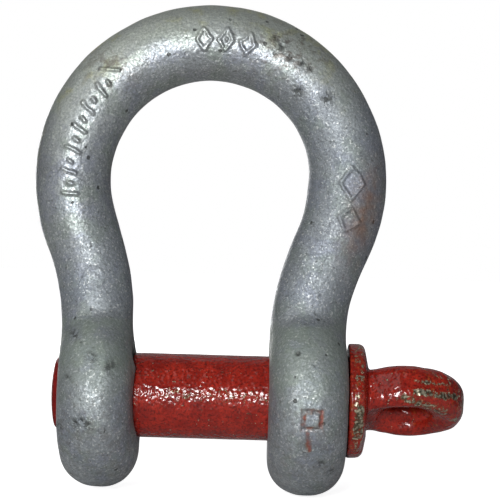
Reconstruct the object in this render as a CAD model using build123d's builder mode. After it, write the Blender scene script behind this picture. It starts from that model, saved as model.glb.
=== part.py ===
"""Screw-pin bow shackle: a forged bow with two ears, closed by a screw pin with a pad eye.

Frame, in millimetres: +X runs along the pin toward its eye and +Z toward the crown of the bow.
The origin is on the pin's axis, on the centre plane of the crown.
"""
import os
from math import acos, asin, atan2, cos, degrees, hypot, pi, radians, sin, sqrt

from build123d import *

# Bow: round stock bent to a bow, with a forged ear at the end of each leg
stock_radius = 12.95
crown_radius = 47.1
crown_height = 73.9
ear_thickness = 26.6
ear_rim_radius = 12.2
ear_face_top = 4.0
waist_height = 26.0
ear_top = 50.0

# Neck between leg and ear: it deepens toward the ear and meets it in a tight hollow
neck_half_depth = 17.0
neck_foot_height = 22.0
neck_foot_slope = 0.22
neck_hollow_radius = 5.0

# The two legs differ by about a millimetre, as forgings do; a waist is a neck's inner and outer edge
threaded_leg_offset = 35.9
threaded_leg_flare = 92.0
threaded_ear_offset = 35.5
threaded_ear_radius = 31.6
threaded_waist = (24.6, 49.4)
plain_leg_offset = 34.9
plain_leg_flare = 78.0
plain_ear_offset = 35.1
plain_ear_radius = 32.8
plain_waist = (21.9, 47.6)

# Screw pin: shank, collar and domed tip
shank_radius = 14.4
seat_gap = 0.3
collar_radius = 19.5
collar_rim_thickness = 5.2
collar_thickness = 6.8
collar_rim_rounding = 2.4
tip_reach = 3.0
tip_dome_radius = 36.0

# Pad eye, forged in one piece with the pin and standing turned about its axis
eye_offset = 68.5
eye_reach = 20.1
eye_half_width = 16.6
eye_neck_width = 24.6
eye_thickness = 16.0
eye_edge_radius = 5.6
eye_hole_radius = 6.35
eye_hole_rounding = 4.4
eye_turn = 66.0

# Thread, 7 per inch, with radial running clearance between its two halves
thread_pitch = 25.4 / 7
thread_depth = 1.9
thread_mouth = 0.82 * thread_pitch
thread_root = 0.2 * thread_pitch
thread_crest_radius = 14.1
thread_relief_radius = 12.0
thread_relief_length = 2.6
thread_overcut = 0.25
threaded_bore_radius = 14.4
plain_bore_radius = 15.3
bore_chamfer = 1.0

# Places along the pin's axis
threaded_outer_face = -(threaded_ear_offset + ear_thickness / 2)
threaded_inner_face = -(threaded_ear_offset - ear_thickness / 2)
plain_inner_face = plain_ear_offset - ear_thickness / 2
plain_outer_face = plain_ear_offset + ear_thickness / 2
collar_face = plain_outer_face + seat_gap
collar_outer = collar_face + collar_thickness
tip = threaded_outer_face - tip_reach
thread_start = tip + tip_dome_radius - sqrt(tip_dome_radius ** 2 - thread_relief_radius ** 2)
thread_end = threaded_inner_face - thread_relief_length


def leg_flare(leg_offset, flare_radius):
    """Return the centre (x, z) of a leg's flare, and the angles where its ear and the crown meet it."""
    crown_angle = acos((leg_offset + flare_radius) / (crown_radius + flare_radius))
    centre_z = crown_height - (crown_radius + flare_radius) * sin(crown_angle)
    ear_angle = asin((ear_top - centre_z) / flare_radius)
    return (leg_offset + flare_radius, centre_z), degrees(ear_angle), degrees(crown_angle)


def ear_blank(side, ear_offset, ear_radius, leg_offset, flare_radius, waist):
    """Return one ear with the neck that blends it into its leg; side is -1 or 1 along X."""
    (centre_x, centre_z), ear_angle, _ = leg_flare(leg_offset, flare_radius)
    out_x = -cos(radians(ear_angle))
    out_z = sin(radians(ear_angle))
    up_the_leg = (side * out_z, -out_x)
    down_the_leg = (-side * out_z, out_x)
    inner_reach = flare_radius + stock_radius
    outer_reach = flare_radius - stock_radius
    inner_top = (side * (centre_x + inner_reach * out_x), centre_z + inner_reach * out_z)
    outer_top = (side * (centre_x + outer_reach * out_x), centre_z + outer_reach * out_z)
    inner_x = side * (ear_offset - ear_thickness / 2)
    outer_x = side * (ear_offset + ear_thickness / 2)
    inner_shoulder = (inner_x, ear_face_top)
    outer_shoulder = (outer_x, ear_face_top)
    inner_waist = (side * waist[0], waist_height)
    outer_waist = (side * waist[1], waist_height)

    with BuildPart() as ear:
        with BuildSketch(Plane.XZ):
            with BuildLine():
                Polyline(inner_shoulder, (inner_x, -ear_radius), (outer_x, -ear_radius), outer_shoulder)
                Spline(outer_shoulder, outer_waist, outer_top, tangents=((0, 1), up_the_leg))
                Line(outer_top, inner_top)
                Spline(inner_top, inner_waist, inner_shoulder, tangents=(down_the_leg, (0, -1)))
            make_face()
        extrude(amount=ear_radius, both=True)
        with BuildSketch(Plane.YZ) as side_outline:
            with BuildLine():
                Line((0, neck_foot_height), (neck_half_depth, neck_foot_height))
                Spline(
                    (neck_half_depth, neck_foot_height),
                    (stock_radius, ear_top),
                    tangents=((-neck_foot_slope, 1), (0, 1)),
                )
                Line((stock_radius, ear_top), (stock_radius, 2 * ear_top))
                Line((stock_radius, 2 * ear_top), (0, 2 * ear_top))
                Line((0, 2 * ear_top), (0, neck_foot_height))
            make_face()
            mirror(about=Plane.YZ)
            Circle(ear_radius)
            hollows = side_outline.vertices().filter_by(
                lambda corner: neck_foot_height < corner.Y < ear_top - 1 and abs(corner.X) > 1
            )
            fillet(hollows, radius=neck_hollow_radius)
        extrude(amount=2 * crown_radius, both=True, mode=Mode.INTERSECT)
        leg_end = ear.faces().sort_by(Axis((0, 0, 0), (up_the_leg[0], 0, up_the_leg[1])))[-1]
        fillet(ear.edges() - ear.edges().filter_by(Axis.X) - leg_end.edges(), radius=ear_rim_radius)
    return ear.part


def thread_groove(radius, outward, start, length, lead_angle):
    """Return a right-hand helical cutter with its mouth at radius; outward is 1 in a bore, -1 on a pin."""
    with BuildPart() as groove:
        with BuildLine() as path:
            Helix(thread_pitch, length, radius, center=(start, 0, 0), direction=(1, 0, 0))
        mouth = path.line @ 0
        radial = (mouth - Vector(start, 0, 0)).normalized() * outward
        with BuildSketch(Plane(origin=mouth, x_dir=radial, z_dir=path.line % 0)):
            with BuildLine():
                Polyline(
                    (-thread_overcut, thread_mouth / 2),
                    (thread_depth, thread_root / 2),
                    (thread_depth, -thread_root / 2),
                    (-thread_overcut, -thread_mouth / 2),
                    close=True,
                )
            make_face()
        sweep(path=path.line, is_frenet=True)
    return groove.part.rotate(Axis.X, lead_angle)


def pad_eye():
    """Return the pin's flat eye and its neck, which starts inside the collar."""
    across = Plane(
        origin=(0, 0, 0),
        x_dir=(1, 0, 0),
        z_dir=(0, -cos(radians(eye_turn)), -sin(radians(eye_turn))),
    )
    neck_start = collar_face + collar_thickness / 2
    # The neck's tangent to the elliptical eye is found where the ellipse is squeezed to a circle
    squeezed_length = (eye_offset - neck_start) * eye_half_width / eye_reach
    neck_angle = pi - atan2(eye_neck_width / 2, squeezed_length)
    touch_angle = neck_angle - acos(eye_half_width / hypot(squeezed_length, eye_neck_width / 2))
    neck_touch = (eye_offset + eye_reach * cos(touch_angle), eye_half_width * sin(touch_angle))

    with BuildPart() as eye:
        with BuildSketch(across):
            with BuildLine():
                Line((neck_start, 0), (neck_start, eye_neck_width / 2))
                Line((neck_start, eye_neck_width / 2), neck_touch)
                EllipticalCenterArc(
                    (eye_offset, 0), eye_reach, eye_half_width, start_angle=0, arc_size=degrees(touch_angle)
                )
                Line((eye_offset + eye_reach, 0), (neck_start, 0))
            make_face()
            mirror(about=Plane(origin=(0, 0, 0), x_dir=(1, 0, 0), z_dir=across.y_dir))
        extrude(amount=eye_thickness / 2, both=True)
        broad_faces = eye.faces().sort_by(Axis((0, 0, 0), across.z_dir))
        neck_end = eye.faces().sort_by(Axis.X)[0]
        outline = broad_faces[0].edges() + broad_faces[-1].edges() - neck_end.edges()
        fillet(outline, radius=eye_edge_radius)
        with BuildSketch(across):
            with Locations((eye_offset, 0)):
                Circle(eye_hole_radius)
        extrude(amount=eye_thickness, both=True, mode=Mode.SUBTRACT)
        hole_rims = eye.edges().filter_by(GeomType.CIRCLE).filter_by(
            lambda edge: abs(edge.radius - eye_hole_radius) < 0.01
        )
        fillet(hole_rims, radius=eye_hole_rounding)
    return eye.part


threaded_leg = (threaded_leg_offset, threaded_leg_flare)
plain_leg = (plain_leg_offset, plain_leg_flare)
threaded_centre, threaded_ear_angle, threaded_crown_angle = leg_flare(*threaded_leg)
plain_centre, plain_ear_angle, plain_crown_angle = leg_flare(*plain_leg)
crown_sweep = 180 + plain_crown_angle + threaded_crown_angle

with BuildPart() as bow:
    with BuildLine(Plane.XZ) as centreline:
        CenterArc(plain_centre, plain_leg_flare, 180 - plain_ear_angle, plain_ear_angle - plain_crown_angle)
        CenterArc((0, crown_height), crown_radius, -plain_crown_angle, crown_sweep)
        CenterArc(
            (-threaded_centre[0], threaded_centre[1]),
            threaded_leg_flare,
            threaded_crown_angle,
            threaded_ear_angle - threaded_crown_angle,
        )
    with BuildSketch(Plane(origin=centreline.line @ 0, z_dir=centreline.line % 0)):
        Circle(stock_radius)
    sweep(path=centreline.line)
    add(ear_blank(-1, threaded_ear_offset, threaded_ear_radius, *threaded_leg, threaded_waist))
    add(ear_blank(1, plain_ear_offset, plain_ear_radius, *plain_leg, plain_waist))
    with BuildSketch(Plane.XZ):
        for radius, low, high in (
            (threaded_bore_radius, threaded_outer_face, threaded_inner_face),
            (plain_bore_radius, plain_inner_face, plain_outer_face),
        ):
            with BuildLine():
                Polyline(
                    (low - bore_chamfer, 0),
                    (low - bore_chamfer, radius + 2 * bore_chamfer),
                    (low + bore_chamfer, radius),
                    (high - bore_chamfer, radius),
                    (high + bore_chamfer, radius + 2 * bore_chamfer),
                    (high + bore_chamfer, 0),
                    close=True,
                )
            make_face()
    revolve(axis=Axis.X, mode=Mode.SUBTRACT)
    add(
        thread_groove(
            radius=threaded_bore_radius,
            outward=1,
            start=threaded_outer_face - thread_pitch,
            length=ear_thickness + 2 * thread_pitch,
            lead_angle=20,
        ),
        mode=Mode.SUBTRACT,
    )
bow.part.label = "bow"

with BuildPart() as screw_pin:
    with BuildSketch(Plane.XZ):
        with BuildLine():
            RadiusArc((tip, 0), (thread_start, thread_relief_radius), tip_dome_radius)
            Polyline(
                (thread_start, thread_relief_radius),
                (thread_start, thread_crest_radius),
                (thread_end, thread_crest_radius),
                (thread_end, thread_relief_radius),
                (threaded_inner_face, thread_relief_radius),
                (threaded_inner_face, shank_radius),
                (collar_face, shank_radius),
                (collar_face, collar_radius),
                (collar_face + collar_rim_thickness, collar_radius),
                (collar_outer, eye_neck_width / 2),
                (collar_outer, 0),
                (tip, 0),
            )
        make_face()
    revolve(axis=Axis.X)
    collar_rims = screw_pin.edges().filter_by(GeomType.CIRCLE).filter_by(
        lambda edge: abs(edge.radius - collar_radius) < 0.01
    )
    fillet(collar_rims.sort_by(Axis.X)[-1], radius=collar_rim_rounding)
    add(
        thread_groove(
            radius=thread_crest_radius,
            outward=-1,
            start=thread_start - thread_pitch,
            length=thread_end - thread_start + thread_pitch + thread_relief_length / 2,
            lead_angle=100,
        ),
        mode=Mode.SUBTRACT,
    )
    add(pad_eye())
screw_pin.part.label = "screw_pin"

os.makedirs("parts", exist_ok=True)
export_step(bow.part, "parts/bow.step")
export_step(screw_pin.part, "parts/screw_pin.step")
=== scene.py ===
"""Bow shackle: the visual model, in metres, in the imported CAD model's frame.

+X runs along the pin toward its eye and +Z toward the crown. Both pieces start from copies of
their CAD nodes, remeshed, softened like forgings and given their surface detail.
"""
import math

import bmesh
import bpy
import numpy as np
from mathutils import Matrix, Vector, noise


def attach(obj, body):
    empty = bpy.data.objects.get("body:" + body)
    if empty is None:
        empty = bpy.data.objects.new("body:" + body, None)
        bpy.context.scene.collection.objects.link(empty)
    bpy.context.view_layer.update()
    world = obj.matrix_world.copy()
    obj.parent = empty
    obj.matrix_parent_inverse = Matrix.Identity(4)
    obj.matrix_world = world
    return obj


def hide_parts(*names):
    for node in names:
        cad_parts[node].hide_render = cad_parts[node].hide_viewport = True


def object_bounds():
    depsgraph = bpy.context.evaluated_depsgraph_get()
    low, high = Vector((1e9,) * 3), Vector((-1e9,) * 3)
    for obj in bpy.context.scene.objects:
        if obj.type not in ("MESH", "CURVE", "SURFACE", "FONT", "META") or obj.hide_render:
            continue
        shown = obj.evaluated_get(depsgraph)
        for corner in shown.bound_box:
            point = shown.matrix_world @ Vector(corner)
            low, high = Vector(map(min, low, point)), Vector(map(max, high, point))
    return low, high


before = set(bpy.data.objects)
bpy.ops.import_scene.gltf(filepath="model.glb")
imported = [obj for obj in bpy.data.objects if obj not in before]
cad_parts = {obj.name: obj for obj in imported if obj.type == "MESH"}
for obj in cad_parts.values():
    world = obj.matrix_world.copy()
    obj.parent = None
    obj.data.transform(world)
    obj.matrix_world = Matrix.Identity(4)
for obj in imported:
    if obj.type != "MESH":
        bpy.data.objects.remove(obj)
cad_low, cad_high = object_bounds()
scene = bpy.context.scene
centre = (cad_low + cad_high) / 2
MM = 0.001

# The CAD model's lines that the detail follows
crown_radius = 47.1 * MM
crown_height = 73.9 * MM
ear_crease_height = 27.0 * MM
bore_clear_radius = 17.5 * MM
collar_face = 48.7 * MM
collar_rim_end = 54.6 * MM
eye_centre = 68.5 * MM
eye_turn = math.radians(66.0)
groove_start = -24.4 * MM
groove_end = -21.0 * MM

# How finely the copies are remeshed and how much they are softened
bow_voxel = 0.9 * MM
bow_soften_rounds = 14
mark_cuts = 2
pin_voxel = 0.5 * MM
pin_soften_rounds = 6

# The bow's marks: how far they stand out or in, and how much their lines waver
stroke_height = 0.55 * MM
ring_height = 0.16 * MM
stamp_depth = 0.45 * MM
pit_depth = 0.3 * MM
waver = 0.4 * MM
waver_length = 2.5 * MM

# The stamped square's place and line, and the faint ring on each leg: (x, z) of its middle in mm
stamp_x = 36.0 * MM
stamp_z = -4.5 * MM
stamp_half_side = 2.9 * MM
stamp_half_width = 0.5 * MM
RINGS = ((-38.0, 40.0), (35.0, 46.0))
ring_radius = 3.2 * MM
ring_half_width = 0.45 * MM

# The rust that has run down from the square: (x, z) of its ends and its half width, in mm
DRIP = ((34.6, -9.0), (35.4, -14.5), 0.45)

# Pits in the zinc: (x, z, radius) in mm on the front of the bow
PITS = (
    (28.6, 104.3, 1.5), (38.8, 102.5, 1.5), (20.8, 122.0, 0.9), (22.8, 119.5, 1.1), (25.7, 115.8, 0.9),
    (30.3, 113.6, 1.1), (32.4, 112.2, 1.0), (-43.5, 21.0, 1.1), (-37.0, 14.0, 1.2), (-30.5, 11.2, 1.2),
    (-44.6, 6.8, 0.8), (-41.4, -7.8, 1.1), (-39.6, -6.8, 0.8), (-37.4, -8.2, 1.1), (-47.3, -9.2, 1.1),
    (-32.5, -10.2, 0.9), (31.0, 17.0, 0.7), (39.8, -19.3, 0.8), (42.8, -21.9, 0.9),
)

# Rubbed streaks on the eye's near branch: (x, z) of each end, a half width in mm, and a strength
STREAKS = (
    ((67.0, 3.0), (81.0, -2.0), 1.2, 0.56), ((71.0, 4.8), (84.5, 3.0), 0.9, 0.66),
    ((71.0, 8.2), (83.5, 7.0), 0.4, 0.55), ((76.0, 10.4), (83.0, 9.0), 0.3, 0.5),
    ((76.0, -10.5), (85.0, -5.0), 0.5, 0.6),
)


# ---------------------------------------------------------------- mesh helpers

def cad_copy(node, name, voxel):
    """Return a new object: the CAD node's mesh, welded and remeshed to even quads of size voxel."""
    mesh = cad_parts[node].data.copy()
    welded = bmesh.new()
    welded.from_mesh(mesh)
    bmesh.ops.remove_doubles(welded, verts=welded.verts, dist=1e-6)
    welded.to_mesh(mesh)
    welded.free()
    piece = bpy.data.objects.new(name, mesh)
    scene.collection.objects.link(piece)
    remesh = piece.modifiers.new("even_quads", "REMESH")
    remesh.mode = "VOXEL"
    remesh.voxel_size = voxel
    apply_modifiers(piece)
    return piece


def apply_modifiers(piece):
    """Replace the object's mesh with what its modifiers make of it."""
    bpy.context.view_layer.update()
    evaluated = piece.evaluated_get(bpy.context.evaluated_depsgraph_get())
    mesh = bpy.data.meshes.new_from_object(evaluated)
    piece.modifiers.clear()
    piece.data = mesh


def vertex_values(piece, name):
    """Return the vertices' "co" or "normal" as an array of shape (n, 3)."""
    flat = np.empty(len(piece.data.vertices) * 3)
    piece.data.vertices.foreach_get(name, flat)
    return flat.reshape(-1, 3)


def vertex_positions(piece):
    """Return the vertices' places as an array of shape (n, 3)."""
    return vertex_values(piece, "co")


def vertex_normals(piece):
    """Return the vertices' normals as an array of shape (n, 3)."""
    return vertex_values(piece, "normal")


def move_to(piece, points):
    """Put the vertices at the given places."""
    piece.data.vertices.foreach_set("co", points.ravel())
    piece.data.update()


def axis_distance(points):
    """Return how far each point is from the pin's axis."""
    return np.hypot(points[:, 1], points[:, 2])


def push_out(piece, distances):
    """Move each vertex along its normal by its distance."""
    move_to(piece, vertex_positions(piece) + vertex_normals(piece) * distances[:, None])


def soften(piece, weights, rounds):
    """Smooth the surface by the weights, one per vertex from 0 to 1, taken in quarters."""
    group = piece.vertex_groups.new(name="soften")
    for level in (0.25, 0.5, 0.75, 1.0):
        chosen = np.flatnonzero(np.abs(np.ceil(weights * 4) / 4 - level) < 0.01)
        group.add(chosen.tolist(), level, "REPLACE")
    smooth = piece.modifiers.new("soften", "SMOOTH")
    smooth.factor = 0.5
    smooth.iterations = rounds
    smooth.vertex_group = "soften"
    apply_modifiers(piece)


def grow(piece, chosen, rings):
    """Return the vertex mask with that many rings of neighbours added."""
    grown = chosen.copy()
    edges = np.array([e.vertices[:] for e in piece.data.edges])
    for _ in range(rings):
        touching = grown[edges].any(axis=1)
        grown[edges[touching].ravel()] = True
    return grown


def refine(piece, chosen, cuts):
    """Split the edges with both ends chosen, a mask per vertex, and the quads between them."""
    work = bmesh.new()
    work.from_mesh(piece.data)
    work.verts.ensure_lookup_table()
    edges = [e for e in work.edges if chosen[e.verts[0].index] and chosen[e.verts[1].index]]
    bmesh.ops.subdivide_edges(work, edges=edges, cuts=cuts, use_grid_fill=True, smooth=0.4)
    work.to_mesh(piece.data)
    work.free()


def uneven(points, wavelength, seed):
    """Return smooth noise in about -1 to 1 at each point, with features about a wavelength across."""
    shift = Vector((seed * 7.31, seed * 3.17, seed * 5.53))
    return np.array([noise.noise(Vector(p) / wavelength + shift) for p in points])


def soft_step(value, low, high):
    """Return 0 below low and 1 above high, with a smooth rise between."""
    t = np.clip((value - low) / (high - low), 0.0, 1.0)
    return t * t * (3 - 2 * t)


def hump(value, middle, width):
    """Return 1 at the middle, falling off smoothly to either side."""
    return np.exp(-((value - middle) / width) ** 2)


def paint(piece, name, values):
    """Store one number per vertex for the materials to read."""
    layer = piece.data.attributes.new(name, "FLOAT", "POINT")
    layer.data.foreach_set("value", np.asarray(values, dtype=np.float32))


def finish_piece(piece, body, node, material):
    """Shade smooth, give the material, and tie the piece to the CAD model."""
    piece.data.materials.clear()
    piece.data.materials.append(material)
    piece.data.polygons.foreach_set("use_smooth", [True] * len(piece.data.polygons))
    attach(piece, body)
    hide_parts(node)


# ---------------------------------------------------------------- materials

class Nodes:
    """A short way to write a material's node tree."""

    def __init__(self, name):
        self.material = bpy.data.materials.new(name)
        self.material.use_nodes = True
        self.tree = self.material.node_tree
        self.shader = self.tree.nodes["Principled BSDF"]
        self.place = self.tree.nodes.new("ShaderNodeTexCoord").outputs["Object"]

    def link(self, source, target):
        """Set an input from a socket or a plain value."""
        if isinstance(source, bpy.types.NodeSocket):
            self.tree.links.new(source, target)
        else:
            target.default_value = source

    def noise(self, size, detail=4.0, rough=0.55, warp=0.0):
        """Noise whose features are about size across, in metres."""
        node = self.tree.nodes.new("ShaderNodeTexNoise")
        node.inputs["Scale"].default_value = 1.0 / size
        node.inputs["Detail"].default_value = detail
        node.inputs["Roughness"].default_value = rough
        node.inputs["Distortion"].default_value = warp
        self.link(self.place, node.inputs["Vector"])
        return node.outputs["Fac"]

    def cells(self, size):
        """Distance from the middles of scattered cells about size across, in metres."""
        node = self.tree.nodes.new("ShaderNodeTexVoronoi")
        node.inputs["Scale"].default_value = 1.0 / size
        self.link(self.place, node.inputs["Vector"])
        return node.outputs["Distance"]

    def painted(self, name):
        """A number painted on the vertices."""
        node = self.tree.nodes.new("ShaderNodeAttribute")
        node.attribute_name = name
        return node.outputs["Fac"]

    def math(self, operation, a, b):
        """One of the math node's operations on two sockets or values."""
        node = self.tree.nodes.new("ShaderNodeMath")
        node.operation = operation
        self.link(a, node.inputs[0])
        self.link(b, node.inputs[1])
        return node.outputs[0]

    def plus(self, a, b):
        """The sum of two sockets or values."""
        return self.math("ADD", a, b)

    def times(self, a, b):
        """The product of two sockets or values."""
        return self.math("MULTIPLY", a, b)

    def ramp(self, value, low, high, to_low=0.0, to_high=1.0):
        """Map value from low..high to to_low..to_high, smoothly and clamped."""
        node = self.tree.nodes.new("ShaderNodeMapRange")
        node.interpolation_type = "SMOOTHSTEP"
        self.link(value, node.inputs["Value"])
        node.inputs["From Min"].default_value = low
        node.inputs["From Max"].default_value = high
        node.inputs["To Min"].default_value = to_low
        node.inputs["To Max"].default_value = to_high
        return node.outputs["Result"]

    def mix(self, amount, a, b):
        """Blend two colours."""
        node = self.tree.nodes.new("ShaderNodeMix")
        node.data_type = "RGBA"
        self.link(amount, node.inputs["Factor"])
        self.link(a, node.inputs["A"])
        self.link(b, node.inputs["B"])
        return node.outputs["Result"]

    def bump(self, height, distance, under=None):
        """Bump by a height, on top of another bump if one is given."""
        node = self.tree.nodes.new("ShaderNodeBump")
        node.inputs["Strength"].default_value = 1.0
        node.inputs["Distance"].default_value = distance
        self.link(height, node.inputs["Height"])
        if under is not None:
            self.link(under, node.inputs["Normal"])
        return node.outputs["Normal"]


def linear(level):
    """One channel as seen on screen, 0 to 255, as the shader's linear value."""
    level /= 255
    return level / 12.92 if level <= 0.04045 else ((level + 0.055) / 1.055) ** 2.4


def rgb(red, green, blue):
    """A colour as seen on screen, 0 to 255, as the shader's linear values."""
    return (linear(red), linear(green), linear(blue), 1.0)


def galvanised():
    """Hot-dip zinc, dulled: grainy grey with bright specks, bloom, dirt, dark pits and rust, with greenish
    patina and painted shade on the ears below their crease, and painted shade towards the bottom and the
    eye side.
    """
    n = Nodes("galvanised_zinc")
    grain = n.ramp(n.noise(0.75 * MM, detail=2.0, rough=0.7), 0.36, 0.64)
    speck = n.ramp(n.noise(0.8 * MM, detail=2.0, rough=0.6, warp=0.3), 0.58, 0.68)
    patina_and_shade = n.times(n.painted("patina_and_shade"), n.ramp(n.noise(6 * MM), 0.3, 0.6, 0.4, 1.0))
    pit = zinc_pits(n)
    patches = n.ramp(n.noise(3.2 * MM, detail=4.0), 0.3, 0.75, 0.0, 0.6)
    stain = n.times(n.painted("rust"), patches)
    zinc = zinc_tones(n, grain, speck)
    # Greenish patina, and painted shade: a little darker on the ears below the leg-ear crease, where the
    # surface turns upward.
    zinc = n.mix(n.times(patina_and_shade, 0.5), zinc, rgb(126, 137, 124))
    zinc = weathered(n, zinc, grain)
    zinc = n.mix(n.times(pit, 0.85), zinc, rgb(62, 64, 62))
    n.link(rusted(n, zinc, stain), n.shader.inputs["Base Color"])
    n.shader.inputs["Metallic"].default_value = 0.7
    rough = n.ramp(grain, 0.0, 1.0, 0.42, 0.52)
    matt_and_shade, bloom = n.painted("matt_and_shade"), n.painted("bloom")
    for amount, change in ((patina_and_shade, 0.10), (matt_and_shade, 0.10), (speck, -0.10), (bloom, 0.12), (stain, 0.15)):
        rough = n.plus(rough, n.times(amount, change))
    n.link(rough, n.shader.inputs["Roughness"])
    normal = n.bump(n.noise(3.5 * MM, detail=2.0), 0.22 * MM)
    normal = n.bump(n.noise(1.3 * MM, detail=1.0), 0.2 * MM, normal)
    normal = n.bump(n.math("SUBTRACT", 1.0, pit), 0.25 * MM, normal)
    n.link(normal, n.shader.inputs["Normal"])
    return n.material


def zinc_tones(n, grain, speck):
    """The zinc's greys: mottled, tinged green and blue in places, with grain and specks, and with painted
    shade, darker and bluer towards the bottom and the eye side.
    """
    mottle = n.ramp(n.noise(7 * MM, detail=6.0, rough=0.7), 0.36, 0.64)
    green = n.ramp(n.noise(9 * MM, detail=3.0), 0.5, 0.62, 0.0, 0.35)
    blue = n.ramp(n.noise(10 * MM, detail=3.0, warp=0.4), 0.5, 0.62, 0.0, 0.4)
    dark_fleck = n.ramp(n.noise(0.9 * MM, detail=2.0, rough=0.6, warp=0.5), 0.59, 0.68)
    zinc = n.mix(mottle, rgb(139, 143, 146), rgb(158, 163, 164))
    zinc = n.mix(green, zinc, rgb(126, 140, 118))
    zinc = n.mix(blue, zinc, rgb(126, 130, 150))
    zinc = n.mix(n.times(grain, 0.6), zinc, rgb(106, 110, 112))
    # Painted shade: darker and bluer towards the bottom and the eye side, where the key light falls off.
    zinc = n.mix(n.times(n.painted("matt_and_shade"), 0.16), zinc, rgb(104, 112, 126))
    zinc = n.mix(n.times(speck, 0.6), zinc, rgb(206, 208, 206))
    return n.mix(n.times(dark_fleck, 0.6), zinc, rgb(74, 76, 76))


def weathered(n, zinc, grain):
    """The zinc's yellowish white bloom and its brown dirt."""
    bloom = n.times(n.painted("bloom"), n.ramp(grain, 0.0, 1.0, 0.75, 0.45))
    bloom_colour = n.mix(n.ramp(n.noise(8 * MM), 0.5, 0.68), rgb(164, 170, 160), rgb(166, 168, 128))
    zinc = n.mix(bloom, zinc, bloom_colour)
    smudge = n.times(n.painted("smudge"), n.ramp(n.noise(2.6 * MM, detail=5.0), 0.48, 0.62))
    return n.mix(n.times(smudge, 0.7), zinc, rgb(84, 72, 62))


def zinc_pits(n):
    """How pitted the zinc is: at the listed pits, and at small ones scattered in patches."""
    placed = n.times(n.painted("pit"), n.ramp(n.noise(1.6 * MM), 0.44, 0.54))
    scattered = n.ramp(n.cells(6 * MM), 0.13, 0.08)
    scattered = n.times(scattered, n.ramp(n.noise(24 * MM, detail=1.0), 0.48, 0.58))
    return n.math("MAXIMUM", placed, scattered)


def rusted(n, zinc, stain):
    """The zinc with a thin brown wash, and with patchy rust that is redder where it is thick."""
    rust = n.painted("rust")
    zinc = n.mix(n.times(n.math("MINIMUM", rust, 1.0), 0.45), zinc, rgb(82, 58, 46))
    colour = n.mix(n.ramp(rust, 1.1, 1.4), rgb(128, 88, 58), rgb(140, 62, 42))
    return n.mix(n.math("MINIMUM", stain, 0.7), zinc, colour)


def red_paint():
    """Red enamel on forged steel: pitted like orange peel, chipped, and worn to metal on its edges, with
    worn chips that also stand as painted glints along the shank's front, and painted shade on the domed
    tip.
    """
    n = Nodes("worn_red_paint")
    ragged = n.noise(1.8 * MM, detail=6.0, rough=0.75)
    wear = n.plus(ragged, n.times(n.painted("wear"), 0.5))
    chip = n.ramp(n.noise(1.3 * MM, detail=2.0), 0.67, 0.71)
    chip = n.times(chip, n.ramp(n.noise(9 * MM, detail=1.0), 0.44, 0.58, 0.2, 1.0))
    bare = n.math("MAXIMUM", n.ramp(wear, 0.75, 0.81), chip)
    metal = n.mix(n.ramp(n.noise(0.9 * MM, detail=3.0), 0.46, 0.66), rgb(70, 64, 50), rgb(170, 162, 140))
    tip = n.painted("tip")
    # Painted shade: the domed tip's face is darker red, as it is turned away from the light; it is also
    # rougher and less glossy.
    colour = n.mix(n.times(tip, 0.6), paint_tones(n), rgb(84, 14, 18))
    colour = n.mix(n.ramp(wear, 0.70, 0.77, 0.0, 0.8), colour, rgb(112, 66, 40))
    n.link(n.mix(bare, colour, metal), n.shader.inputs["Base Color"])
    n.link(n.ramp(bare, 0.0, 1.0, 0.0, 0.8), n.shader.inputs["Metallic"])
    n.link(n.plus(n.ramp(bare, 0.0, 1.0, 0.19, 0.40), n.times(tip, 0.4)), n.shader.inputs["Roughness"])
    n.link(n.ramp(tip, 0.0, 1.0, 0.32, 0.05), n.shader.inputs["Specular IOR Level"])
    normal = n.bump(n.noise(2.4 * MM, detail=1.0), 0.2 * MM)
    normal = n.bump(n.noise(1.3 * MM, detail=0.0), 0.3 * MM, normal)
    normal = n.bump(n.math("SUBTRACT", 1.0, bare), 0.1 * MM, normal)
    n.link(normal, n.shader.inputs["Normal"])
    return n.material


def paint_tones(n):
    """The paint's own reds: blotched, grimy, brown where it is rubbed thin, and dark in its pocks."""
    tone = n.ramp(n.noise(6 * MM, detail=5.0), 0.35, 0.65)
    grime = n.ramp(n.noise(1.0 * MM, detail=3.0, rough=0.7), 0.46, 0.7, 0.0, 0.55)
    rubbed = n.times(n.ramp(n.noise(1.7 * MM, detail=4.0), 0.56, 0.66, 0.0, 0.5), n.painted("rub"))
    pock = n.ramp(n.noise(0.8 * MM, detail=2.0, rough=0.7), 0.50, 0.64, 0.0, 0.7)
    colour = n.mix(tone, rgb(118, 24, 16), rgb(142, 34, 22))
    colour = n.mix(grime, colour, rgb(82, 22, 18))
    colour = n.mix(rubbed, colour, rgb(150, 88, 42))
    return n.mix(pock, colour, rgb(62, 12, 10))


def floor_white():
    """Matt white with a glow that only the camera sees, full from 0.7 m out and weaker near the object, a
    painted shadow round it.
    """
    n = Nodes("pale_floor")
    n.shader.inputs["Base Color"].default_value = (0.8, 0.8, 0.8, 1.0)
    n.shader.inputs["Roughness"].default_value = 0.9
    n.shader.inputs["Emission Color"].default_value = (1.0, 1.0, 1.0, 1.0)
    distance = n.tree.nodes.new("ShaderNodeVectorMath")
    distance.operation = "LENGTH"
    n.link(n.place, distance.inputs[0])
    # Painted shadow: the glow is weaker within 0.7 m of the object.
    glow = n.ramp(distance.outputs["Value"], 0.2, 0.7, 0.82, 1.0)
    path = n.tree.nodes.new("ShaderNodeLightPath")
    n.link(n.times(path.outputs["Is Camera Ray"], glow), n.shader.inputs["Emission Strength"])
    return n.material


# ---------------------------------------------------------------- flat outlines for marks and wear

def capsule(along, across, start, end, half_width):
    """Return how far inside a round-ended bar each point is, in metres; negative is outside."""
    start, end = np.array(start), np.array(end)
    run = end - start
    points = np.stack([along, across], axis=1) - start
    share = np.clip(points @ run / (run @ run), 0.0, 1.0)
    return half_width - np.linalg.norm(points - share[:, None] * run, axis=1)


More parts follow.
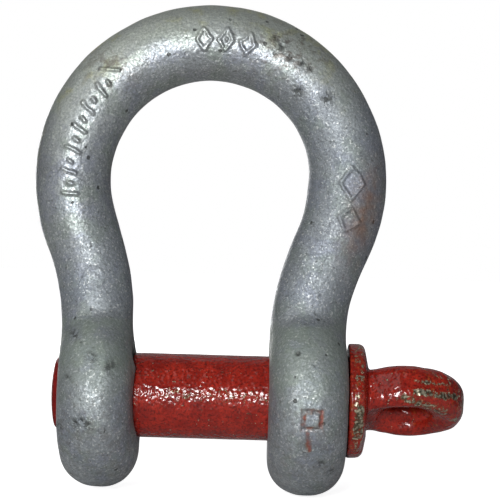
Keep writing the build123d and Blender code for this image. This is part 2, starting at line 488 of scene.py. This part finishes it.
def ring(x, z, centre_x, centre_z):
    """Return how far inside a leg ring's line each point is."""
    return ring_half_width - np.abs(np.hypot(x - centre_x, z - centre_z) - ring_radius)


def stamp_line(x, z):
    """Return how far inside the stamped square's line each point is."""
    reach = np.maximum(np.abs(x - stamp_x), np.abs(z - stamp_z))
    return stamp_half_width - np.abs(reach - stamp_half_side)


def pit_distances(x, z):
    """Give, pit by pit, how many of its radii each point is from the pit's middle."""
    for pit_x, pit_z, radius in PITS:
        yield np.hypot(x - pit_x * MM, z - pit_z * MM) / (radius * MM)


def lozenge(angle, across, half_length, half_height, half_width):
    """List the four bars of a diamond at a place on the bow: degrees round it, mm across it."""
    half_angle = math.degrees(half_length * MM / crown_radius)
    tips = [(angle - half_angle, across), (angle, across + half_height),
            (angle + half_angle, across), (angle, across - half_height)]
    return [(tips[n], tips[n - 1], half_width) for n in range(4)]


def raised_strokes():
    """List the raised strokes as (start, end, half width), each point (degrees round, mm across)."""
    strokes = []
    for angle in (94.0, 85.0, 76.0):
        strokes += lozenge(angle, 0.2, 2.5, 3.5, 0.8)
    strokes.append(((85.0, 0.0), (85.0, 0.4), 0.8))
    strokes.append(((136.5, 5.2), (131.5, 0.6), 0.7))
    for step, across in enumerate((0.0, 0.3, -0.2, 0.1, 0.4, 0.0)):
        angle = 188.0 - 9.0 * step
        strokes.append(((angle, across - 2.2), (angle - 1.5, across + 2.4), 0.9))
        strokes.append(((angle - 4.5, across - 0.6), (angle - 5.0, across + 0.6), 0.9))
    strokes += lozenge(0.0, 0.6, 5.4, 4.0, 0.8)
    strokes += lozenge(-14.5, 1.4, 3.8, 3.6, 0.8)
    return strokes


# ---------------------------------------------------------------- the bow

def make_bow():
    """The galvanised forging: softened bow and ears, with raised marks and a stamped square."""
    bow = cad_copy("bow", "bow_forging", bow_voxel)
    from_pin = axis_distance(vertex_positions(bow))
    away_from_bores = soft_step(from_pin, bore_clear_radius, bore_clear_radius + 3 * MM)
    soften(bow, 0.25 + 0.75 * away_from_bores, bow_soften_rounds)
    marked = np.abs(mark_height(vertex_positions(bow))) > 0
    refine(bow, grow(bow, marked, 2), mark_cuts)
    points = vertex_positions(bow)
    push_out(bow, swell(points) + mark_height(points) + leg_unevenness(bow))
    draw_in_threaded_ear(bow)
    paint_bow(bow)
    finish_piece(bow, "bow", "bow", galvanised())


def swell(points):
    """How far the forging's uneven surface stands out at each point, away from the bores."""
    outside = soft_step(axis_distance(points), bore_clear_radius, bore_clear_radius + 2 * MM)
    return MM * (0.22 * uneven(points, 17 * MM, 1) + 0.10 * uneven(points, 6 * MM, 2)) * outside


def mark_height(points):
    """How far the generic marks on the bow's front stand out, or in if negative, at each point."""
    x = points[:, 0] + waver * uneven(points, waver_length, 8)
    z = points[:, 2] + waver * uneven(points, waver_length, 9)
    height = stroke_heights(x, z)
    for ring_x, ring_z in RINGS:
        inside = ring(x, z, ring_x * MM, ring_z * MM)
        height = np.maximum(height, ring_height * soft_step(inside, -0.4 * MM, 0.4 * MM))
    depth = stamp_depth * (0.5 + 0.5 * soft_step(uneven(points, 1.3 * MM, 11), -0.3, 0.3))
    height = height - depth * soft_step(stamp_line(x, z), -0.3 * MM, 0.3 * MM)
    for distance in pit_distances(x, z):
        height = height - pit_depth * soft_step(1.2 - distance, 0.0, 1.0)
    return np.where(points[:, 1] < 0, height, 0.0)


def stroke_heights(x, z):
    """How far the raised strokes stand out at each point."""
    angle = np.degrees(np.arctan2(z - crown_height, x)) % 360
    angle = np.where(angle > 300, angle - 360, angle)
    along = np.radians(angle) * crown_radius
    across = np.hypot(x, z - crown_height) - crown_radius
    height = np.zeros(len(x))
    for start, end, half_width in raised_strokes():
        first = (math.radians(start[0]) * crown_radius, start[1] * MM)
        last = (math.radians(end[0]) * crown_radius, end[1] * MM)
        inside = capsule(along, across, first, last, half_width * MM)
        height = np.maximum(height, stroke_height * soft_step(inside, -0.25 * MM, half_width * MM))
    return height


def leg_unevenness(bow):
    """How far the insides of the legs stand out: the eye-side leg is fuller there, the other leaner."""
    x, _, z = vertex_positions(bow).T
    facing = np.clip(vertex_normals(bow)[:, 0], -1, 1)
    fuller = 1.1 * MM * hump(z, 69 * MM, 9 * MM)
    leaner = 0.9 * MM * hump(z, 51 * MM, 10 * MM)
    on_eye_side = np.where(x > 0, np.clip(-facing, 0, 1), 0) * fuller
    on_other_side = np.where(x < 0, np.clip(facing, 0, 1), 0) * leaner
    return on_eye_side - on_other_side


def draw_in_threaded_ear(bow):
    """Move the threaded ear's inner face back above the pin and beside it, as the photo shows it."""
    points = vertex_positions(bow)
    x, y, z = points.T
    above = soft_step(z, 6 * MM, 15 * MM)
    beside = soft_step(np.abs(y), 9 * MM, 19 * MM) * soft_step(z, -22 * MM, -12 * MM)
    inner = soft_step(x, -38 * MM, -24 * MM) * soft_step(-z, -34 * MM, -18 * MM)
    points[:, 0] -= np.where(x < 0, 1.6 * MM * inner * np.maximum(above, beside), 0)
    move_to(bow, points)


def paint_bow(bow):
    """Paint where the zinc has greenish patina with painted shade, where it is rougher with painted shade,
    and where it is bloomed, dirty, rusty and pitted.
    """
    points = vertex_positions(bow)
    x, y, z = points.T
    # Greenish patina and painted shade in the band below the leg-ear crease, on the ears' upper part.
    crease = ear_crease_height + 1.5 * MM * uneven(points, 8 * MM, 3)
    patina_and_shade = soft_step(crease - z, 0.0, 2.0 * MM) * soft_step(z, -10 * MM, 16 * MM)
    outer = soft_step(np.hypot(x, z - crown_height), crown_radius - 2 * MM, crown_radius + 8 * MM)
    on_leg = soft_step(z, 26 * MM, 34 * MM)
    patchy = 0.25 + 0.75 * soft_step(uneven(points, 1.6 * MM, 10), -0.3, 0.2)
    paint(bow, "patina_and_shade", 0.1 + 0.9 * patina_and_shade)
    # Rougher zinc, and painted shade: darker towards the bottom and the eye side.
    paint(bow, "matt_and_shade", soft_step(0.7 * x - z, -104 * MM, -64 * MM) * (1.0 + 0.7 * on_leg))
    paint(bow, "bloom", outer * soft_step(z, 70 * MM, 112 * MM) * soft_step(-x, -62 * MM, -30 * MM))
    paint(bow, "smudge", smudge_amount(x, z))
    paint(bow, "rust", rust_amount(x, y, z, patchy))
    paint(bow, "pit", pit_amount(x, y, z))


def rust_amount(x, y, z, patchy):
    """Rust: a stain down the outside of the eye-side leg, the stamped square and its drip."""
    front = soft_step(-y, 0.0, 4 * MM)
    leg_line = 52.5 * MM + 0.2 * (z - 66 * MM)
    leg = hump(x, leg_line, 5 * MM) * hump(z, 64 * MM, 15 * MM)
    stamp = soft_step(stamp_line(x, z), -0.8 * MM, 0.1 * MM)
    top, foot, half_width = DRIP
    drip = capsule(x, z, np.array(top) * MM, np.array(foot) * MM, half_width * MM)
    drip = soft_step(drip, -0.45 * MM, 0.2 * MM)
    return np.clip(front * (0.95 * leg + 1.6 * stamp * patchy + 2.2 * drip), 0, 3)


def smudge_amount(x, z):
    """Dirt: on both sides of the crown's marks, and on the ears' lower halves."""
    crown = hump(x, 26 * MM, 14 * MM) * hump(z, 118 * MM, 9 * MM)
    shoulder = hump(x, -35 * MM, 10 * MM) * hump(z, 110 * MM, 8 * MM)
    ears = soft_step(-z, -14 * MM, 10 * MM)
    return np.clip(crown + 0.8 * shoulder + 0.3 * ears, 0, 1)


def pit_amount(x, y, z):
    """How strongly the zinc is pitted at each point of the bow's front."""
    amount = np.zeros(len(x))
    for distance in pit_distances(x, z):
        amount = np.maximum(amount, np.where(y < 0, np.exp(-0.4 * distance ** 2), 0))
    return amount


# ---------------------------------------------------------------- the screw pin

def make_pin():
    """The red screw pin: threaded end with its domed tip, shank, collar and dented pad eye."""
    pin = cad_copy("screw_pin", "screw_pin_forging", pin_voxel)
    x = vertex_positions(pin)[:, 0]
    past_collar_face = soft_step(x, collar_face + 1.5 * MM, collar_face + 5 * MM)
    soften(pin, 0.25 + 0.75 * past_collar_face, pin_soften_rounds)
    push_out(pin, dents(vertex_positions(pin)))
    push_out(pin, eye_shape(pin) + tip_fullness(pin))
    carry_shank_on(pin)
    points = vertex_positions(pin)
    # Where the tip gets its painted shade, rougher finish and weaker gloss.
    paint(pin, "tip", soft_step(-points[:, 0], 47 * MM, 49 * MM))
    paint(pin, "wear", wear_amount(points))
    paint(pin, "rub", rub_amount(points))
    finish_piece(pin, "screw_pin", "screw_pin", red_paint())


def dents(points):
    """How far the pin's uneven surface stands out: well dented on the eye, hardly on the shank."""
    x = points[:, 0]
    eye_share = soft_step(x, collar_rim_end, collar_rim_end + 5 * MM)
    shank_share = soft_step(x, -21 * MM, -19 * MM) * (1 - eye_share)
    on_eye = 0.25 * uneven(points, 8 * MM, 5) + 0.15 * uneven(points, 3.5 * MM, 6)
    return MM * (eye_share * on_eye + 0.04 * shank_share * uneven(points, 6 * MM, 7))


def eye_shape(pin):
    """How far the eye stands out from plain: its faces drawn in round the punched hole, its top fuller."""
    x, y, z = vertex_positions(pin).T
    facing_up = vertex_normals(pin)[:, 2]
    across = -y * math.sin(eye_turn) + z * math.cos(eye_turn)
    depth = y * math.cos(eye_turn) + z * math.sin(eye_turn)
    from_hole = np.hypot(x - eye_centre, across)
    narrow = 13 * MM - from_hole
    wide = narrow + 4 * MM * soft_step(across, -4 * MM, 4 * MM)
    upper_dish = 1.5 * MM * soft_step(depth, 3 * MM, 6 * MM) * soft_step(narrow, 0.0, 5 * MM)
    lower_dish = 2.5 * MM * soft_step(-depth, 1 * MM, 5 * MM) * soft_step(wide, -1 * MM, 7 * MM)
    fuller = 0.9 * MM * np.clip(facing_up, 0, 1) * hump(x, 69 * MM, 11 * MM)
    leaner = 0.7 * MM * np.clip(-facing_up, 0, 1) * hump(x, 58.5 * MM, 5 * MM)
    return fuller * soft_step(from_hole, 7 * MM, 10 * MM) - leaner - upper_dish - lower_dish


def tip_fullness(pin):
    """How far the domed tip stands out from plain, most of all near its rim."""
    x, y, z = vertex_positions(pin).T
    facing = np.clip(-vertex_normals(pin)[:, 0], 0, 1)
    share = np.hypot(y, z) / (11 * MM)
    on_tip = soft_step(-x, 48 * MM, 50 * MM) * soft_step(1.25 - share, 0.0, 0.3)
    return MM * on_tip * facing * (0.4 + 0.6 * np.minimum(share, 1) ** 2)


def carry_shank_on(pin):
    """Fill the groove behind the thread as far as the drawn-in ear shows it."""
    filled_radius = 14.3 * MM
    points = vertex_positions(pin)
    radius = axis_distance(points)
    shown = (points[:, 0] > groove_start) & (points[:, 0] < groove_end) & (radius > 8 * MM)
    stretch = np.where(shown, np.maximum(1.0, filled_radius / np.maximum(radius, MM)), 1.0)
    points[:, 1:] *= stretch[:, None]
    move_to(pin, points)


def wear_amount(points):
    """How far the paint is worn: collar rim, streaks and end of the eye, thread crests, and the shank's
    front, where the chips lie along its highlight line as painted glints.
    """
    x, y, z = points.T
    radius = axis_distance(points)
    front = soft_step(-y, 2 * MM, 8 * MM)
    rim = collar_wear(x, z, radius, front)
    streaks = np.zeros(len(x))
    for start, end, half_width, strength in STREAKS:
        inside = capsule(x, z, np.array(start) * MM, np.array(end) * MM, half_width * MM)
        streaks = np.maximum(streaks, strength * soft_step(inside, -1.6 * MM, 0.5 * MM))
    eye_end = 0.5 * soft_step(x, 84 * MM, 88 * MM)
    crest = 0.9 * soft_step(-x, 24 * MM, 25 * MM) * soft_step(radius, 13.6 * MM, 14.0 * MM)
    between_ears = soft_step(x, -20 * MM, -12 * MM) * soft_step(-x, -47 * MM, -46 * MM)
    # Worn chips along the shank's front, set on its highlight line so that they also stand as painted
    # glints.
    shank = 0.40 * hump(z, 1.5 * MM, 3.5 * MM) * between_ears * front
    return np.clip(rim + streaks * front + eye_end + crest + shank, 0, 1)


def collar_wear(x, z, radius, front):
    """How far the paint is worn on the collar's rim: most of all low on its front."""
    on_collar = soft_step(x, collar_face + 0.8 * MM, collar_face + 2 * MM)
    on_collar = on_collar * soft_step(-x, -55 * MM, -53 * MM)
    low_front = front * soft_step(z, -12 * MM, -9 * MM) * soft_step(-z, -2 * MM, 2 * MM)
    return on_collar * soft_step(radius, 17.6 * MM, 19.0 * MM) * (0.44 + 0.26 * low_front)


def rub_amount(points):
    """Where the paint is rubbed thin and looks brown: the collar's rim and the outer eye."""
    x = points[:, 0]
    collar = soft_step(axis_distance(points), 16.5 * MM, 18.5 * MM)
    collar = collar * soft_step(x, collar_face, collar_face + 1 * MM)
    return np.clip(collar + 0.7 * soft_step(x, 66 * MM, 76 * MM), 0, 1)


# ---------------------------------------------------------------- stage

def make_stage():
    """A pale floor that runs far back, so that it meets the pale background at the horizon."""
    far = 6.0
    height = cad_low.z - 0.5 * MM
    mesh = bpy.data.meshes.new("floor")
    corners = [(x * far, y * far, height) for x, y in ((-1, -1), (1, -1), (1, 1), (-1, 1))]
    mesh.from_pydata(corners, [], [(0, 1, 2, 3)])
    floor = bpy.data.objects.new("floor", mesh)
    scene.collection.objects.link(floor)
    mesh.materials.append(floor_white())


def add_light(name, right, back, up, size, power, colour=(1, 1, 1)):
    """A square soft light facing the object's middle: metres right of it, behind it and above it."""
    place = Vector((centre.x + right, back, centre.z + up))
    data = bpy.data.lights.new(name, "AREA")
    data.shape = "SQUARE"
    data.size = size
    data.energy = power
    data.color = colour
    light = bpy.data.objects.new(name, data)
    light.location = place
    light.rotation_euler = (Vector(centre) - place).to_track_quat("-Z", "Y").to_euler()
    scene.collection.objects.link(light)


def make_lights():
    """A small key just left of and above the camera, fills from both sides, and two lights behind."""
    add_light("key", right=-0.13, back=-0.9, up=0.11, size=0.16, power=8.2, colour=(0.98, 0.99, 1.0))
    add_light("top_left", right=-0.7, back=-0.45, up=0.8, size=1.0, power=4.5, colour=(1.0, 1.0, 0.97))
    add_light("right", right=0.9, back=-0.5, up=-0.05, size=0.6, power=0.8, colour=(0.9, 0.94, 1.0))
    add_light("behind", right=0.15, back=1.2, up=0.9, size=1.8, power=2.5)
    add_light("back_key", right=-0.4, back=1.2, up=0.03, size=0.3, power=3.4)


def make_world():
    """A background that the camera sees as white, and that gives only a weak cool light."""
    world = bpy.data.worlds.new("studio")
    scene.world = world
    world.use_nodes = True
    tree = world.node_tree
    seen = tree.nodes.new("ShaderNodeBackground")
    seen.inputs["Color"].default_value = (1, 1, 1, 1)
    seen.inputs["Strength"].default_value = 1.0
    given = tree.nodes["Background"]
    given.inputs["Color"].default_value = (0.93, 0.9, 1.0, 1)
    given.inputs["Strength"].default_value = 0.09
    path = tree.nodes.new("ShaderNodeLightPath")
    choose = tree.nodes.new("ShaderNodeMixShader")
    tree.links.new(path.outputs["Is Camera Ray"], choose.inputs["Fac"])
    tree.links.new(given.outputs[0], choose.inputs[1])
    tree.links.new(seen.outputs[0], choose.inputs[2])
    tree.links.new(choose.outputs[0], tree.nodes["World Output"].inputs["Surface"])


def make_camera():
    """Level with the middle of the object and square to it, rolled slightly as the photograph was."""
    distance = 0.70
    roll = math.radians(1.65)
    data = bpy.data.cameras.new("camera")
    data.sensor_width = 36.0
    data.lens = 147.3
    camera = bpy.data.objects.new("camera", data)
    camera.location = (centre.x - 0.2 * MM, -distance, centre.z)
    camera.rotation_euler = (math.radians(90), -roll, 0)
    scene.collection.objects.link(camera)
    scene.camera = camera


scene.view_settings.view_transform = "Standard"
make_bow()
make_pin()
make_stage()
make_lights()
make_world()
make_camera()
